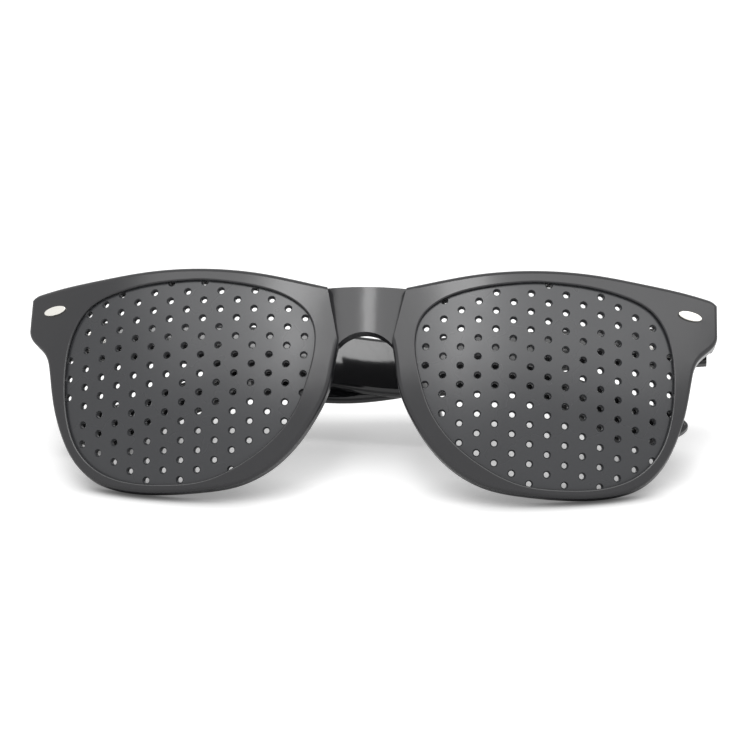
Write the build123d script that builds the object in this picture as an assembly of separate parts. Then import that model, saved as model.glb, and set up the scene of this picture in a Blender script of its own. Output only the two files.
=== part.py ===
"""Pinhole glasses: a classic broad-browed plastic frame with two perforated opaque lenses.

The pieces are drawn with the front standing upright, its outer face towards +Z and its
top towards +Y, and are then leaned back together into the stance in which the folded
glasses lie on a table. Left and right are the wearer's: the wearer's right is at -X.
"""
from build123d import *
from math import asin, cos, degrees, hypot, sqrt
import os

# Front, in millimetres
FRONT_WIDTH = 144.0
FRONT_HEIGHT = 47.2
FRONT_MIDDLE_Y = -0.4        # of its outline; zero is the height of the foremost point
FRONT_RADIUS = 116.8        # both halves are spherical caps of this radius
CROWN_X = 20.4              # each half stands furthest forward this far from the middle
RIM_DEPTH = 4.0
FRONT_ROUND = 1.0           # rounding of the outline at the front
BACK_ROUND = 0.7            # the same at the back
OPENING_ROUND = 0.3         # front edge of each lens opening
CORNER_RADIUS = 1.2         # top outer corner of each end piece

# Bridge
BRIDGE_TOP_WIDTH = 16.4     # between the creases at the brow
BRIDGE_FOOT_WIDTH = 11.0    # between the creases at the arch
BRIDGE_TOP_Y = 19.1
BRIDGE_FOOT_Y = 6.8
ARCH_TOP_Y = 9.3
BRIDGE_CROWN_RADIUS = 25.0
BRIDGE_SET_BACK = 0.9
BRIDGE_LAP = 1.2            # how far the bridge runs into each half

# Lens openings and lenses
OPENING_WIDTH = 52.5
OPENING_HEIGHT = 42.8
OPENING_X = 36.55
OPENING_Y = -0.95
LENS_SET_BACK = 0.8
LENS_THICKNESS = 1.2
GROOVE_DEPTH = 0.7
GROOVE_CLEARANCE = 0.04
HOLE_COLUMN_PITCH = 3.55
HOLE_ROW_PITCH = 3.95
HOLE_LEVEL = 0.35           # height of the row that lies nearest the middle
HOLE_DIAMETER = 1.15
SINK_DIAMETER = 1.6
SINK_DEPTH = 0.35

# Moulded nose pads
PAD_THICKNESS = 3.4
PAD_HEIGHT = 15.0
PAD_DEPTH = 9.0
PAD_X = 12.4
PAD_Y = -3.4
PAD_BACK = 6.6              # its middle lies this far behind the foremost level
PAD_LEAN = 24.0             # degrees, along the flank of the nose
PAD_FLARE = 24.0            # degrees, opening towards the face

# Hinges
HINGE_Y = 13.2
HINGE_BACK = 21.9           # its axis lies this far behind the foremost level
FACE_TILT = 7.5             # degrees, the hinge axis leans back at the top
KNUCKLE_RADIUS = 1.5
KNUCKLE_HEIGHT = 2.3
KNUCKLE_GAP = 0.1
LEAF_THICKNESS = 1.0
LEAF_PROUD = 0.1            # how far the temple leaf stands out of its pocket
LEAF_START = 2.1            # from the axis to the near end of the temple leaf
LEAF_LENGTH = 9.0
LEAF_HEIGHT = 6.0
LEAF_PLAY = 0.02            # between each leaf and its slot or pocket
TONGUE_THICKNESS = 1.4
TONGUE_DEPTH = 2.0          # how far the front leaf runs into the end piece
NECK_HEIGHT = 2.1
SWING_CLEARANCE = 0.3
SCREW_RADIUS = 0.7
SCREW_GRIP_PLAY = 0.02      # in the two knuckles of the front leaf
SCREW_TURN_PLAY = 0.05      # in the knuckle that turns on it
SCREW_HEAD_RADIUS = 1.15
SCREW_HEAD_HEIGHT = 0.6
SCREW_SLOT_WIDTH = 0.3
SCREW_SLOT_DEPTH = 0.3
RIVET_RADIUS = 0.6
RIVET_LENGTH = 1.1
RIVET_SPACING = 4.6
BUTT_AHEAD = 3.5            # the temple's end stands this far ahead of the axis
BUTT_GAP = 0.25
END_BLOCK_WIDTH = 9.2
END_BLOCK_FOOT_Y = 9.3
END_BLOCK_ROUND = 0.8
END_BLOCK_INSET = 0.05      # its sides stand in this far from those of the rim

# Temples
TEMPLE_THICKNESS = 3.4
TEMPLE_REACH = 133.0        # from the hinge axis to the tip
TEMPLE_DROP = 23.2          # from the hinge's middle to the lowest point of the tip
TEMPLE_BOW = 4.5
TEMPLE_ROUND = 0.9
BUTT_HEIGHT = 8.6
RIGHT_FOLD = -1.6           # degrees past the position square to the hinge, nearer the front
LEFT_FOLD = 1.7             # degrees short of it, so that it lies behind the other

# Studs
STUD_LENGTH = 4.9
STUD_WIDTH = 2.0
STUD_PROUD = 0.45
STUD_SINK = 0.35
STUD_ROUND = 0.2
STUD_PLAY = 0.02
STUD_X = 66.3
STUD_Y = 15.4
STUD_TILT = 8.5             # degrees, the outer end lower
STUD_PIN_RADIUS = 0.45
STUD_PIN_LENGTH = 1.4
STUD_PIN_SPACING = 2.6

OVERRUN = 3.0               # how far cutting tools run past what they cut
EDGE_TOLERANCE = 0.02       # within which an edge counts as lying on a face
LEAN_STEP = 0.01            # degrees, to which the resting lean is found
LEAN_LIMIT = 90.0           # degrees, lying flat on its back

# Outline of one half of the front, as shares of half its width and half its height
BROW_SHARES = [(0.200, 0.881), (0.314, 0.949), (0.429, 0.989), (0.535, 1.0),
               (0.663, 0.981), (0.780, 0.939), (0.901, 0.892)]
CORNER_SHARE = (0.974, 0.852)
SIDE_FOOT_SHARE = 0.506
FLANK_SHARES = [(0.989, 0.420), (0.964, 0.341), (0.940, 0.253), (0.926, 0.108),
                (0.910, -0.168), (0.882, -0.447), (0.840, -0.691), (0.778, -0.869),
                (0.683, -0.970), (0.569, -1.0), (0.455, -0.984), (0.351, -0.931),
                (0.262, -0.799), (0.187, -0.584), (0.133, -0.330), (0.098, -0.081),
                (0.086, 0.144)]

# Outline of a lens opening, as shares of half its width and half its height
OPENING_SHARES = [(0.02, 1.0), (0.32, 0.975), (0.61, 0.90), (0.82, 0.775), (0.94, 0.56),
                  (0.995, 0.26), (1.0, -0.02), (0.965, -0.35), (0.88, -0.62), (0.72, -0.83),
                  (0.475, -0.96), (0.13, -1.0), (-0.17, -0.965), (-0.44, -0.82),
                  (-0.69, -0.585), (-0.86, -0.305), (-0.96, 0.05), (-1.0, 0.35),
                  (-0.96, 0.61), (-0.80, 0.80), (-0.535, 0.92), (-0.25, 0.98)]

# Side outline of a temple, as shares of its reach and its drop, over the top and back
TEMPLE_SHARES = [(0.187, 0.186), (0.336, 0.170), (0.448, 0.110), (0.560, 0.025),
                 (0.672, -0.076), (0.746, -0.178), (0.799, -0.288), (0.881, -0.466),
                 (0.933, -0.593), (0.978, -0.720), (1.0, -0.830), (0.980, -0.925),
                 (0.948, -0.975), (0.914, -1.0), (0.878, -0.900), (0.836, -0.733),
                 (0.776, -0.551), (0.731, -0.460), (0.672, -0.440), (0.552, -0.478),
                 (0.433, -0.394), (0.299, -0.254), (0.164, -0.166), (0.075, -0.178)]

HALF_WIDTH = FRONT_WIDTH / 2
HALF_HEIGHT = FRONT_HEIGHT / 2
FRONT_SWING = degrees(asin((HALF_WIDTH - CROWN_X + OVERRUN) / FRONT_RADIUS)) + OVERRUN
FRONT_BACK_Z = -HINGE_BACK - OVERRUN
INNER_FACE = KNUCKLE_RADIUS + SWING_CLEARANCE       # from the axis to the temple
HINGE_X = HALF_WIDTH - INNER_FACE - TEMPLE_THICKNESS
BOW_RADIUS = ((HINGE_X + BUTT_AHEAD) ** 2 + TEMPLE_BOW ** 2) / (2 * TEMPLE_BOW)
KNUCKLE_STEP = KNUCKLE_HEIGHT + KNUCKLE_GAP
HINGE_TOP = KNUCKLE_STEP + KNUCKLE_HEIGHT / 2


def cap(radius, front, depth, centre_x, swing):
    """Curved wall: its front face `front` behind the foremost level, `depth` thick."""
    outer = FRONT_RADIUS - front
    inner = outer - depth
    reach = HALF_HEIGHT + OVERRUN
    outer_z = sqrt(outer ** 2 - reach ** 2) - FRONT_RADIUS
    inner_z = sqrt(inner ** 2 - reach ** 2) - FRONT_RADIUS
    edges = [
        ThreePointArc((0, -reach, outer_z), (0, 0, -front), (0, reach, outer_z)),
        Line((0, reach, outer_z), (0, reach, inner_z)),
        ThreePointArc((0, reach, inner_z), (0, 0, -front - depth), (0, -reach, inner_z)),
        Line((0, -reach, inner_z), (0, -reach, outer_z)),
    ]
    axis = Axis((0, 0, -radius), (0, 1, 0))
    profile = Face(Wire(edges)).rotate(axis, -swing)
    return revolve(profile, axis, 2 * swing).moved(Location((centre_x, 0, 0)))


def half_cap(front, depth):
    """The spherical wall that one half of the front follows, at +X."""
    return cap(FRONT_RADIUS, front, depth, CROWN_X, FRONT_SWING)


def prism(face):
    """A flat outline pushed through the whole depth of the front."""
    low = face.moved(Location((0, 0, FRONT_BACK_Z)))
    return extrude(low, OVERRUN - FRONT_BACK_Z, dir=(0, 0, 1))


def mirrored(shape):
    """The same on the other side of the nose."""
    return mirror(shape, Plane.YZ)


def at_shares(shares, width, height):
    """Points given as shares of two lengths."""
    return [(width * x, height * y) for x, y in shares]


def half_outline(inset):
    """Outline of one half of the front, from the crease of the bridge to the end piece."""
    width = HALF_WIDTH - inset
    height = HALF_HEIGHT - inset
    crease_top = (BRIDGE_TOP_WIDTH / 2, BRIDGE_TOP_Y - FRONT_MIDDLE_Y)
    crease_foot = (BRIDGE_FOOT_WIDTH / 2, BRIDGE_FOOT_Y - FRONT_MIDDLE_Y)
    corner, = at_shares([CORNER_SHARE], width, height)
    side_top = (width, corner[1] - CORNER_RADIUS)
    side_foot = (width, height * SIDE_FOOT_SHARE)
    brow = Spline(crease_top, *at_shares(BROW_SHARES, width, height), corner)
    shoulder = TangentArc(corner, side_top, tangent=brow % 1)
    side = Line(side_top, side_foot)
    flank = Spline(side_foot, *at_shares(FLANK_SHARES, width, height), crease_foot)
    outline = make_face([brow, shoulder, side, flank, Line(crease_foot, crease_top)])
    return outline.moved(Location((0, FRONT_MIDDLE_Y, 0)))


def opening(grow):
    """Outline of the lens opening at +X, grown all round by `grow`."""
    points = at_shares(OPENING_SHARES, OPENING_WIDTH / 2 + grow, OPENING_HEIGHT / 2 + grow)
    outline = make_face([Spline(*points, periodic=True)])
    return outline.moved(Location((OPENING_X, OPENING_Y, 0)))


def to_crown(point):
    """Distance from the centre of the sphere that the half at +X follows."""
    return hypot(point.X - CROWN_X, point.Y, point.Z + FRONT_RADIUS)


def at_crease(point):
    """Whether a point lies where the half meets the bridge."""
    return point.X < BRIDGE_TOP_WIDTH / 2 and point.Y > BRIDGE_FOOT_Y


def round_edges(wall, radius, rounding):
    """Round the edges of the face with this radius, except at the crease."""
    edges = [edge for edge in wall.edges()
             if abs(to_crown(edge @ 0.5) - radius) < EDGE_TOLERANCE and not at_crease(edge @ 0.5)]
    return fillet(edges, rounding)


def front_half():
    """One rim with its end piece at +X, grooved for its lens."""
    wall = half_cap(0, RIM_DEPTH) & prism(half_outline(0))
    wall = round_edges(wall, FRONT_RADIUS, FRONT_ROUND)
    wall = round_edges(wall, FRONT_RADIUS - RIM_DEPTH, BACK_ROUND)
    wall -= prism(opening(0))
    inside = [edge for edge in wall.edges() if abs(to_crown(edge @ 0.5) - FRONT_RADIUS) < EDGE_TOLERANCE
              and abs(edge.center().X - OPENING_X) < OPENING_WIDTH / 2
              and edge.bounding_box().size.X < OPENING_WIDTH + OPENING_ROUND]
    wall = fillet(inside, OPENING_ROUND)
    groove_front = LENS_SET_BACK - GROOVE_CLEARANCE
    groove = half_cap(groove_front, LENS_THICKNESS + 2 * GROOVE_CLEARANCE)
    return wall - (groove & prism(opening(GROOVE_DEPTH)))


def bridge():
    """The recessed middle panel with the arch over the nose."""
    top = BRIDGE_TOP_WIDTH / 2 + BRIDGE_LAP
    foot = BRIDGE_FOOT_WIDTH / 2
    outline = make_face([
        Line((-top, BRIDGE_TOP_Y), (top, BRIDGE_TOP_Y)),
        Line((top, BRIDGE_TOP_Y), (foot + BRIDGE_LAP, BRIDGE_FOOT_Y)),
        Line((foot + BRIDGE_LAP, BRIDGE_FOOT_Y), (foot, BRIDGE_FOOT_Y)),
        ThreePointArc((foot, BRIDGE_FOOT_Y), (0, ARCH_TOP_Y), (-foot, BRIDGE_FOOT_Y)),
        Line((-foot, BRIDGE_FOOT_Y), (-foot - BRIDGE_LAP, BRIDGE_FOOT_Y)),
        Line((-foot - BRIDGE_LAP, BRIDGE_FOOT_Y), (-top, BRIDGE_TOP_Y)),
    ])
    swing = degrees(asin(top / (BRIDGE_CROWN_RADIUS - RIM_DEPTH))) + OVERRUN
    return cap(BRIDGE_CROWN_RADIUS, BRIDGE_SET_BACK, RIM_DEPTH, 0, swing) & prism(outline)


def end_block():
    """The thick part of the end piece at +X, back to the face that the temple meets."""
    left = HALF_WIDTH - END_BLOCK_WIDTH
    corner = Pos(left, END_BLOCK_FOOT_Y) * Rectangle(
        HALF_WIDTH, HALF_HEIGHT, align=(Align.MIN, Align.MIN))
    column = prism(half_outline(END_BLOCK_INSET) & corner) & half_cap(RIM_DEPTH / 2, HINGE_BACK)
    beyond = Box(HALF_WIDTH, FRONT_HEIGHT, FRONT_HEIGHT, align=(Align.CENTER, Align.CENTER, Align.MAX))
    column -= mirrored(hinge_place() * Pos(0, 0, BUTT_AHEAD + BUTT_GAP) * beyond)
    upright = [edge for edge in column.edges().filter_by(Axis.Z)
               if edge.center().X < left + EDGE_TOLERANCE]
    return fillet(upright, END_BLOCK_ROUND)


def nose_pad():
    """Smooth moulded pad behind the nose side of the rim at +X."""
    ball = scale(Sphere(PAD_THICKNESS / 2), (1, PAD_HEIGHT / PAD_THICKNESS, PAD_DEPTH / PAD_THICKNESS))
    return Pos(PAD_X, PAD_Y, -PAD_BACK) * Rot(0, -PAD_FLARE, 0) * Rot(0, 0, PAD_LEAN) * ball


def hinge_place():
    """Frame of the right hinge: X towards the middle, Y along its axis, Z to the front."""
    return Pos(-HINGE_X, HINGE_Y, -HINGE_BACK) * Rot(-FACE_TILT, 0, 0)


def upright_cylinder(radius, bottom, top):
    """Cylinder on the hinge's axis between two heights."""
    middle = Pos(0, (bottom + top) / 2, 0) * Rot(90, 0, 0)
    return middle * Cylinder(radius, top - bottom)


def tongue(play):
    """The part of the front leaf that is set into the end piece."""
    ahead = BUTT_AHEAD + BUTT_GAP + TONGUE_DEPTH
    return Box(TONGUE_THICKNESS + 2 * play, 2 * (HINGE_TOP + play), ahead + play,
               align=(Align.CENTER, Align.CENTER, Align.MIN))


def front_leaf():
    """Right front leaf: the tongue with the upper and the lower knuckle."""
    leaf = tongue(0) + upright_cylinder(KNUCKLE_RADIUS, -HINGE_TOP, HINGE_TOP)
    middle = KNUCKLE_HEIGHT / 2 + KNUCKLE_GAP
    leaf -= upright_cylinder(KNUCKLE_RADIUS + SWING_CLEARANCE, -middle, middle)
    return leaf - upright_cylinder(SCREW_RADIUS + SCREW_GRIP_PLAY, -HINGE_TOP - OVERRUN, HINGE_TOP + OVERRUN)


def leaf_place():
    """Frame on the temple's inner face at the middle of its leaf, Z out of the face."""
    along = LEAF_START + LEAF_LENGTH / 2
    turn = asin((HINGE_X - along) / BOW_RADIUS)
    level = BOW_RADIUS * (1 - cos(turn)) - INNER_FACE - TEMPLE_BOW
    return Pos(along, 0, level) * Rot(0, degrees(turn), 0)


def rivets(radius, length):
    """Two shanks behind the plate of the temple leaf, or the holes for them."""
    shank = Cylinder(radius, length, align=(Align.CENTER, Align.CENTER, Align.MAX))
    top = LEAF_PROUD - LEAF_THICKNESS
    return [Pos(side * RIVET_SPACING / 2, 0, top) * shank for side in (-1, 1)]


def leaf_plate(play):
    """The flat part of the temple leaf with its rivets, or the pocket for them."""
    plate = Box(LEAF_LENGTH + 2 * play, LEAF_HEIGHT + 2 * play, LEAF_THICKNESS + play,
                align=(Align.CENTER, Align.CENTER, Align.MAX))
    plate = Pos(0, 0, LEAF_PROUD) * plate
    return leaf_place() * (plate + rivets(RIVET_RADIUS + play, RIVET_LENGTH + play))


def temple_leaf():
    """Right temple leaf: the riveted plate, its neck and the middle knuckle."""
    knuckle = upright_cylinder(KNUCKLE_RADIUS, -KNUCKLE_HEIGHT / 2, KNUCKLE_HEIGHT / 2)
    neck = Box(LEAF_START + LEAF_THICKNESS, NECK_HEIGHT, INNER_FACE + LEAF_THICKNESS,
               align=(Align.MIN, Align.CENTER, Align.MAX))
    leaf = leaf_plate(0) + neck + knuckle
    bore = upright_cylinder(SCREW_RADIUS + SCREW_TURN_PLAY, -KNUCKLE_HEIGHT, KNUCKLE_HEIGHT)
    return leaf - bore


def temple_side():
    """Side outline of the right temple with the arm along +X."""
    top = (-BUTT_AHEAD, BUTT_HEIGHT / 2)
    foot = (-BUTT_AHEAD, -BUTT_HEIGHT / 2)
    around = Spline(top, *at_shares(TEMPLE_SHARES, TEMPLE_REACH, TEMPLE_DROP), foot)
    return make_face([around, Line(foot, top)])


def bow_arc(level):
    """Bowed line along the temple, its ends at this distance behind the hinge's axis."""
    half = HINGE_X + BUTT_AHEAD
    far = HINGE_X + half
    return ThreePointArc((-BUTT_AHEAD, 0, -level), (HINGE_X, 0, -level - TEMPLE_BOW), (far, 0, -level))


def temple_plan():
    """The bowed band that the temple follows, seen from above."""
    inner = bow_arc(INNER_FACE)
    outer = bow_arc(INNER_FACE + TEMPLE_THICKNESS)
    band = Face(Wire([inner, Line(inner @ 1, outer @ 1), outer, Line(outer @ 0, inner @ 0)]))
    return extrude(band, TEMPLE_DROP + OVERRUN, dir=(0, 1, 0), both=True)


def temple():
    """Right temple, with its pocket for the leaf and a notch for the neck."""
    slab = extrude(temple_side(), HINGE_X, dir=(0, 0, 1), both=True)
    arm = slab & temple_plan()
    long_edges = [edge for edge in arm.edges() if edge.length > TEMPLE_REACH]
    arm = fillet(long_edges, TEMPLE_ROUND)
    notch = Box(LEAF_START + LEAF_THICKNESS + LEAF_PLAY, NECK_HEIGHT + 2 * LEAF_PLAY,
                INNER_FACE + LEAF_THICKNESS + LEAF_PLAY, align=(Align.MIN, Align.CENTER, Align.MAX))
    return arm - leaf_plate(LEAF_PLAY) - notch


def screw():
    """Hinge screw with a slotted head on the upper knuckle."""
    top = HINGE_TOP + SCREW_HEAD_HEIGHT
    shape = upright_cylinder(SCREW_RADIUS, -HINGE_TOP, HINGE_TOP)
    shape += upright_cylinder(SCREW_HEAD_RADIUS, HINGE_TOP, top)
    slot = Box(SCREW_SLOT_WIDTH, 2 * SCREW_SLOT_DEPTH, 2 * SCREW_HEAD_RADIUS + OVERRUN)
    return shape - Pos(0, top, 0) * slot


def stud_outline(play):
    """Oval of the stud at +X, widened by its play."""
    oval = Ellipse(STUD_LENGTH / 2 + play, STUD_WIDTH / 2 + play)
    return Pos(STUD_X, STUD_Y, 0) * Rot(0, 0, -STUD_TILT) * oval


def stud_pins(play):
    """Two pins behind the stud at +X, or the holes for them."""
    x, y = STUD_X - CROWN_X, STUD_Y
    back = sqrt(FRONT_RADIUS ** 2 - x ** 2 - y ** 2) - FRONT_RADIUS - STUD_SINK - STUD_PIN_LENGTH - play
    pin = Cylinder(STUD_PIN_RADIUS + play, 2 * STUD_PIN_LENGTH,
                   align=(Align.CENTER, Align.CENTER, Align.MIN))
    place = Pos(STUD_X, STUD_Y, back) * Rot(0, 0, -STUD_TILT)
    return [place * Pos(side * STUD_PIN_SPACING / 2, 0, 0) * pin for side in (-1, 1)]


def stud():
    """Oval metal stud on the end piece at +X."""
    plate = half_cap(-STUD_PROUD, STUD_PROUD + STUD_SINK) & prism(stud_outline(0))
    rim = [edge for edge in plate.edges() if to_crown(edge @ 0.5) > FRONT_RADIUS]
    plate = fillet([edge for edge in rim if edge.length > STUD_LENGTH], STUD_ROUND)
    pins = half_cap(STUD_SINK / 2, HINGE_BACK) & stud_pins(0)
    return plate + pins


def stud_seat():
    """Shallow seat and pin holes for the stud at +X."""
    plate = half_cap(-STUD_PROUD - OVERRUN, STUD_PROUD + OVERRUN + STUD_SINK) & prism(stud_outline(STUD_PLAY))
    return plate + stud_pins(STUD_PLAY)


def hole_tool():
    """Countersunk pinhole, its axis along Z and the lens face at zero."""
    neck = Cylinder(HOLE_DIAMETER / 2, 2 * LENS_THICKNESS + OVERRUN)
    slope = (SINK_DIAMETER - HOLE_DIAMETER) / 2 / SINK_DEPTH
    top = SINK_DIAMETER / 2 + slope * SINK_DEPTH
    sink = Cone(HOLE_DIAMETER / 2, top, 2 * SINK_DEPTH)
    return neck + sink


def hole_centres(side):
    """Centres of the pinholes of the lens on this side, on one lattice over both."""
    window = opening(0)
    columns = int(FRONT_WIDTH / 2 / HOLE_COLUMN_PITCH)
    rows = int(FRONT_HEIGHT / 2 / HOLE_ROW_PITCH) + 1
    centres = []
    for column in range(columns + 1):
        number = column if side > 0 else -column - 1
        stagger = HOLE_ROW_PITCH / 2 if number % 2 else 0
        for row in range(-rows, rows + 1):
            x = (column + 0.5) * HOLE_COLUMN_PITCH
            y = HOLE_LEVEL + row * HOLE_ROW_PITCH + stagger
            if window.face().is_inside((x, y, 0)):
                centres.append((x, y))
    return centres


def lens(side):
    """Perforated lens drawn at +X; the lattice of holes depends on its side."""
    blank = half_cap(LENS_SET_BACK, LENS_THICKNESS) & prism(opening(GROOVE_DEPTH - GROOVE_CLEARANCE))
    radius = FRONT_RADIUS - LENS_SET_BACK
    tool = hole_tool()
    tools = []
    for x, y in hole_centres(side):
        z = sqrt(radius ** 2 - (x - CROWN_X) ** 2 - y ** 2)
        face = Plane(origin=(x, y, z - FRONT_RADIUS), z_dir=(x - CROWN_X, y, z))
        tools.append(face.location * tool)
    return blank.cut(*tools) if side > 0 else mirrored(blank.cut(*tools))


def front_frame():
    """The whole front in one piece."""
    half = front_half() + end_block() + nose_pad()
    half -= stud_seat()
    slot = hinge_place() * tongue(LEAF_PLAY)
    half -= mirrored(slot)
    return half + mirrored(half) + bridge()


def upright_pieces():
    """Every piece in the folded pose, with the front standing upright."""
    place = hinge_place()
    right_fold = Rot(0, RIGHT_FOLD, 0)
    left_fold = Rot(0, LEFT_FOLD, 0)
    pieces = {
        "front_frame": front_frame(),
        "right_pinhole_lens": lens(-1),
        "left_pinhole_lens": lens(1),
        "right_temple": place * right_fold * temple(),
        "left_temple": mirrored(place * left_fold * temple()),
        "right_front_hinge_leaf": place * front_leaf(),
        "right_temple_hinge_leaf": place * right_fold * temple_leaf(),
        "left_temple_hinge_leaf": mirrored(place * left_fold * temple_leaf()),
        "right_hinge_screw": place * screw(),
        "left_front_stud": stud(),
    }
    pieces["left_front_hinge_leaf"] = mirrored(pieces["right_front_hinge_leaf"])
    pieces["left_hinge_screw"] = mirrored(pieces["right_hinge_screw"])
    pieces["right_front_stud"] = mirrored(pieces["left_front_stud"])
    return pieces


def leaned(shape, lean):
    """Stand the drawing up, its front towards -Y, and lean it back."""
    return shape.rotate(Axis.X, LEAN_LIMIT - lean)


def resting_lean(front, temples):
    """Angle from upright at which the rims and the lower temple tip touch the floor."""
    low, high = 0.0, LEAN_LIMIT
    while high - low > LEAN_STEP:
        lean = (low + high) / 2
        rim = leaned(front, lean).bounding_box().min.Z
        tip = min(leaned(temple, lean).bounding_box().min.Z for temple in temples)
        if tip > rim:
            low = lean
        else:
            high = lean
    return low


def main():
    """Build every piece and write each one in its place on the table."""
    pieces = upright_pieces()
    lean = resting_lean(pieces["front_frame"], [pieces["right_temple"], pieces["left_temple"]])
    pieces = {name: leaned(piece, lean) for name, piece in pieces.items()}
    box = Compound(list(pieces.values())).bounding_box()
    to_origin = Location((-box.center().X, -box.center().Y, -box.min.Z))
    os.makedirs("parts", exist_ok=True)
    for name, piece in pieces.items():
        export_step(piece.moved(to_origin), f"parts/{name}.step")


main()
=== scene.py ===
"""Looks of the pinhole glasses: folded, leaning back on a white table."""

import bpy
import math
from mathutils import Euler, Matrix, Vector

# Camera, matched to the photo; lengths in metres
CAMERA_PLACE = (0.04137, -0.48054, 0.19080)
CAMERA_TURN = (70.513, 0.950, 4.434)        # degrees
CAMERA_LENS = 117.96                        # millimetres, as is the sensor
CAMERA_SENSOR = 36.0

# Light
STRIP_WATTS = 5.6
STRIP_SIZE = (0.28, 1.15)
STRIP_PLACE = (-0.06, -0.80, 1.29)
PANEL_WATTS = 18.5
PANEL_SIZE = (2.60, 1.15)
PANEL_PLACE = (0.35, -0.675, 1.30)
WHITE = (1.0, 1.0, 1.0, 1.0)
SEEN_STRENGTH = 1.0                         # of the surroundings to the camera and in reflections
FILL_STRENGTH = 0.45                        # of the surroundings on matt surfaces

# Table
FLOOR_COLOUR = (0.90, 0.90, 0.90, 1.0)
FLOOR_LIFT = 0.42                           # plain white that the camera sees on top of the light
FLOOR_SIZE = 6.0
PAINTED_SHADE_REACH = 0.012                       # reach of the painted contact shade from what stands over the floor
PAINTED_SHADE_COLOUR = (0.08, 0.08, 0.08, 1.0)    # painted shade: colour of the floor in a narrow gap

# Centre of the sphere that each lens follows, the left one at +X
LENS_CENTRE = (0.0204, 0.08567, -0.03776)
FACE_LIMIT = 0.98                           # cosine within which a facet belongs to the sphere

# Fine grain and the wide smudges of handling, in cycles per metre
GRAIN_SCALE = 900.0
BRUSHED_SCALE = 1500.0
BRUSHED_STRETCH = (1.0, 8.0, 1.0)
EVEN_STRETCH = (1.0, 1.0, 1.0)
SMUDGE_WIDTH = 12                           # in widths of the grain
SMUDGE_DETAIL = 3.0
GRAIN_DETAIL = 4.0
GRAIN_DEPTH = 0.0001
NOISE_LOW = 0.3                             # the noise mostly keeps between these two
NOISE_HIGH = 0.7
IOR = 1.5

# Name, colour, range of roughness and strength of bump of each kind of piece
PLASTICS = {
    "frame": ("frame_black", (0.022, 0.022, 0.024, 1.0), (0.15, 0.21), 0.04),
    "lens": ("lens_black", (0.034, 0.035, 0.038, 1.0), (0.24, 0.32), 0.05),
    "temple": ("temple_black", (0.011, 0.011, 0.012, 1.0), (0.06, 0.11), 0.03),
}
METALS = {
    "leaf": ("hinge_steel", (0.62, 0.61, 0.59, 1.0), (0.22, 0.34), 0.10),
    "screw": ("screw_steel", (0.70, 0.69, 0.67, 1.0), (0.16, 0.26), 0.08),
    "stud": ("stud_metal", (0.86, 0.84, 0.79, 1.0), (0.16, 0.24), 0.05),
}


def new_tree(name):
    """Empty material with its output node."""
    material = bpy.data.materials.new(name)
    material.use_nodes = True
    nodes = material.node_tree.nodes
    nodes.clear()
    output = nodes.new("ShaderNodeOutputMaterial")
    return material, nodes, material.node_tree.links, output


def noise(nodes, links, scale, detail, stretch=EVEN_STRETCH):
    """Noise in object space, in cycles per metre."""
    place = nodes.new("ShaderNodeTexCoord")
    mapping = nodes.new("ShaderNodeMapping")
    mapping.inputs["Scale"].default_value = stretch
    texture = nodes.new("ShaderNodeTexNoise")
    texture.inputs["Scale"].default_value = scale
    texture.inputs["Detail"].default_value = detail
    links.new(place.outputs["Object"], mapping.inputs["Vector"])
    links.new(mapping.outputs["Vector"], texture.inputs["Vector"])
    return texture.outputs["Fac"]


def ranged(nodes, links, source, low, high):
    """Spread noise over the range from low to high."""
    spread = nodes.new("ShaderNodeMapRange")
    spread.inputs["From Min"].default_value = NOISE_LOW
    spread.inputs["From Max"].default_value = NOISE_HIGH
    spread.inputs["To Min"].default_value = low
    spread.inputs["To Max"].default_value = high
    links.new(source, spread.inputs["Value"])
    return spread.outputs["Result"]


def surface(name, colour, roughness, bump, metallic=0.0, scale=GRAIN_SCALE, stretch=EVEN_STRETCH):
    """Material whose roughness and surface vary a little, as on a handled piece."""
    material, nodes, links, output = new_tree(name)
    shader = nodes.new("ShaderNodeBsdfPrincipled")
    shader.inputs["Base Color"].default_value = colour
    shader.inputs["Metallic"].default_value = metallic
    shader.inputs["IOR"].default_value = IOR
    smudge = noise(nodes, links, scale / SMUDGE_WIDTH, SMUDGE_DETAIL)
    links.new(ranged(nodes, links, smudge, *roughness), shader.inputs["Roughness"])
    grain = noise(nodes, links, scale, GRAIN_DETAIL, stretch)
    relief = nodes.new("ShaderNodeBump")
    relief.inputs["Strength"].default_value = bump
    relief.inputs["Distance"].default_value = GRAIN_DEPTH
    links.new(grain, relief.inputs["Height"])
    links.new(relief.outputs["Normal"], shader.inputs["Normal"])
    links.new(shader.outputs["BSDF"], output.inputs["Surface"])
    return material


def maths(nodes, links, operation, first, second, vector=True):
    """One step of arithmetic between two sockets or values."""
    step = nodes.new("ShaderNodeVectorMath" if vector else "ShaderNodeMath")
    step.operation = operation
    for socket, source in zip(step.inputs, (first, second)):
        if isinstance(source, bpy.types.NodeSocket):
            links.new(source, socket)
        else:
            socket.default_value = source
    return step.outputs["Value" if operation == "DOT_PRODUCT" or not vector else "Vector"]


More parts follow.
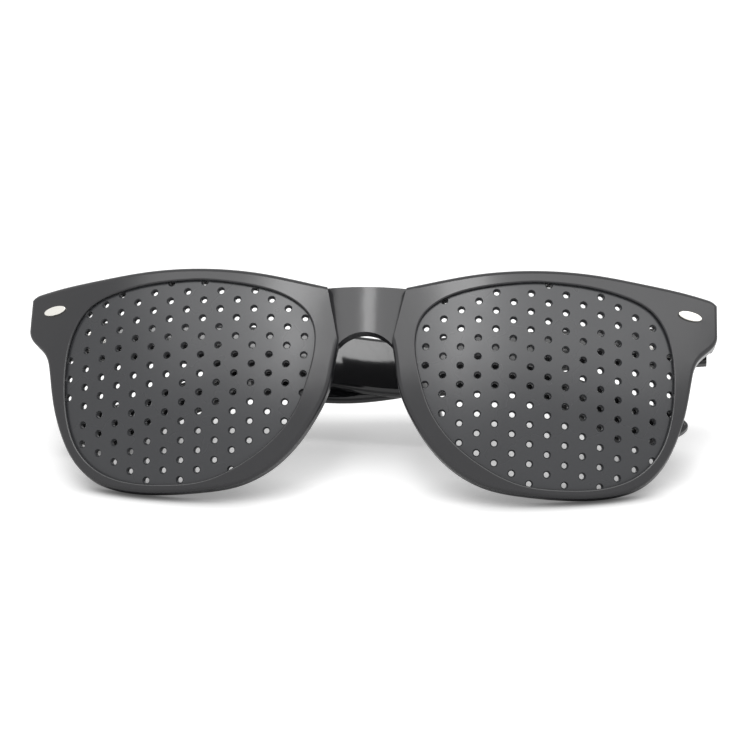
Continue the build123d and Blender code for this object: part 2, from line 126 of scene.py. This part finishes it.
def smooth_lens(material):
    """Shade the curved faces of both lenses as true spheres between their many holes."""
    nodes, links = material.node_tree.nodes, material.node_tree.links
    geometry = nodes.new("ShaderNodeNewGeometry")
    position = geometry.outputs["Position"]
    facet = geometry.outputs["True Normal"]
    parts = nodes.new("ShaderNodeSeparateXYZ")
    links.new(position, parts.inputs["Vector"])
    side = maths(nodes, links, "SIGN", parts.outputs["X"], 0.0, vector=False)
    across = maths(nodes, links, "MULTIPLY", side, LENS_CENTRE[0], vector=False)
    centre = nodes.new("ShaderNodeCombineXYZ")
    links.new(across, centre.inputs["X"])
    centre.inputs["Y"].default_value = LENS_CENTRE[1]
    centre.inputs["Z"].default_value = LENS_CENTRE[2]
    away = maths(nodes, links, "SUBTRACT", position, centre.outputs["Vector"])
    unit = nodes.new("ShaderNodeVectorMath")
    unit.operation = "NORMALIZE"
    links.new(away, unit.inputs[0])
    outward = unit.outputs["Vector"]
    likeness = maths(nodes, links, "DOT_PRODUCT", facet, outward)
    on_face = maths(nodes, links, "GREATER_THAN", likeness, FACE_LIMIT, vector=False)
    chosen = nodes.new("ShaderNodeMix")
    chosen.data_type = "VECTOR"
    links.new(on_face, chosen.inputs["Factor"])
    links.new(geometry.outputs["Normal"], chosen.inputs["A"])
    links.new(outward, chosen.inputs["B"])
    for node in nodes:
        if node.type == "BUMP":
            links.new(chosen.outputs["Result"], node.inputs["Normal"])


def floor_material():
    """White table that keeps the shadow, with painted contact shade near what stands over it, and
    looks white to the camera elsewhere.
    """
    material, nodes, links, output = new_tree("floor_white")
    matt = nodes.new("ShaderNodeBsdfDiffuse")
    plain = nodes.new("ShaderNodeEmission")
    # Painted shade: ambient occlusion darkens the floor colour near the glasses, both in the matt
    # part and in the camera-only lift
    painted_shade_mask = nodes.new("ShaderNodeAmbientOcclusion")
    painted_shade_mask.inputs["Distance"].default_value = PAINTED_SHADE_REACH
    shade = nodes.new("ShaderNodeMix")
    shade.data_type = "RGBA"
    shade.inputs["A"].default_value = PAINTED_SHADE_COLOUR
    shade.inputs["B"].default_value = FLOOR_COLOUR
    links.new(painted_shade_mask.outputs["AO"], shade.inputs["Factor"])
    links.new(shade.outputs["Result"], matt.inputs["Color"])
    links.new(shade.outputs["Result"], plain.inputs["Color"])
    rays = nodes.new("ShaderNodeLightPath")
    lift = maths(nodes, links, "MULTIPLY", rays.outputs["Is Camera Ray"], FLOOR_LIFT, vector=False)
    links.new(lift, plain.inputs["Strength"])
    both = nodes.new("ShaderNodeAddShader")
    links.new(matt.outputs["BSDF"], both.inputs[0])
    links.new(plain.outputs["Emission"], both.inputs[1])
    links.new(both.outputs["Shader"], output.inputs["Surface"])
    return material


def background(nodes, strength):
    """White surroundings of one strength."""
    node = nodes.new("ShaderNodeBackground")
    node.inputs["Color"].default_value = WHITE
    node.inputs["Strength"].default_value = strength
    return node.outputs["Background"]


def world_light():
    """White for the camera and for reflections, softer on matt surfaces."""
    world = bpy.data.worlds.new("studio")
    bpy.context.scene.world = world
    world.use_nodes = True
    nodes = world.node_tree.nodes
    links = world.node_tree.links
    nodes.clear()
    rays = nodes.new("ShaderNodeLightPath")
    seen = rays.outputs["Is Camera Ray"]
    for ray in ("Is Glossy Ray", "Is Transmission Ray"):
        seen = maths(nodes, links, "MAXIMUM", seen, rays.outputs[ray], vector=False)
    mix = nodes.new("ShaderNodeMixShader")
    links.new(seen, mix.inputs["Fac"])
    links.new(background(nodes, FILL_STRENGTH), mix.inputs[1])
    links.new(background(nodes, SEEN_STRENGTH), mix.inputs[2])
    output = nodes.new("ShaderNodeOutputWorld")
    links.new(mix.outputs["Shader"], output.inputs["Surface"])


def softbox(name, watts, size, place):
    """Lamp with a plain face that looks straight down."""
    data = bpy.data.lights.new(name, "AREA")
    data.shape = "RECTANGLE"
    data.energy = watts
    data.size, data.size_y = size
    lamp = bpy.data.objects.new(name, data)
    lamp.location = place
    lamp.rotation_euler = Vector((0, 0, -1)).to_track_quat("-Z", "Y").to_euler()
    bpy.context.scene.collection.objects.link(lamp)


def add_floor():
    """Plain square table under the part."""
    half = FLOOR_SIZE / 2
    mesh = bpy.data.meshes.new("floor")
    corners = [(-half, -half, 0), (half, -half, 0), (half, half, 0), (-half, half, 0)]
    mesh.from_pydata(corners, [], [(0, 1, 2, 3)])
    floor = bpy.data.objects.new("floor", mesh)
    floor.data.materials.append(floor_material())
    bpy.context.scene.collection.objects.link(floor)


def add_camera():
    """Camera with the photo's view."""
    data = bpy.data.cameras.new("camera")
    data.lens = CAMERA_LENS
    data.sensor_width = CAMERA_SENSOR
    camera = bpy.data.objects.new("camera", data)
    camera.location = CAMERA_PLACE
    camera.rotation_euler = Euler([math.radians(turn) for turn in CAMERA_TURN])
    bpy.context.scene.collection.objects.link(camera)
    bpy.context.scene.camera = camera


def kind_of(name):
    """Kind of piece that a node's name stands for."""
    kinds = ("leaf", "frame", "lens", "temple", "screw", "stud")
    return next(kind for kind in kinds if kind in name)


def dress(frame):
    """Give every piece its material."""
    looks = {kind: surface(*look) for kind, look in PLASTICS.items()}
    for kind, look in METALS.items():
        if kind == "leaf":
            looks[kind] = surface(*look, metallic=1.0, scale=BRUSHED_SCALE, stretch=BRUSHED_STRETCH)
        else:
            looks[kind] = surface(*look, metallic=1.0)
    smooth_lens(looks["lens"])
    for name, node in frame["nodes"].items():
        node.data.materials.clear()
        node.data.materials.append(looks[kind_of(name)])


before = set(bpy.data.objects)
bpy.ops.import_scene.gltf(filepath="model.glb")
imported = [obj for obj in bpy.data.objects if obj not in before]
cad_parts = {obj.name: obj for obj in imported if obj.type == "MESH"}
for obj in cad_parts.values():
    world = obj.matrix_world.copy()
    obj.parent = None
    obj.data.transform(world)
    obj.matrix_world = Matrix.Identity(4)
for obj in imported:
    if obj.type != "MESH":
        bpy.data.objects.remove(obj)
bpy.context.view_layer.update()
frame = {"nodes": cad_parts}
bpy.context.scene.view_settings.view_transform = "Standard"
dress(frame)
world_light()
softbox("strip", STRIP_WATTS, STRIP_SIZE, STRIP_PLACE)
softbox("panel", PANEL_WATTS, PANEL_SIZE, PANEL_PLACE)
add_floor()
add_camera()
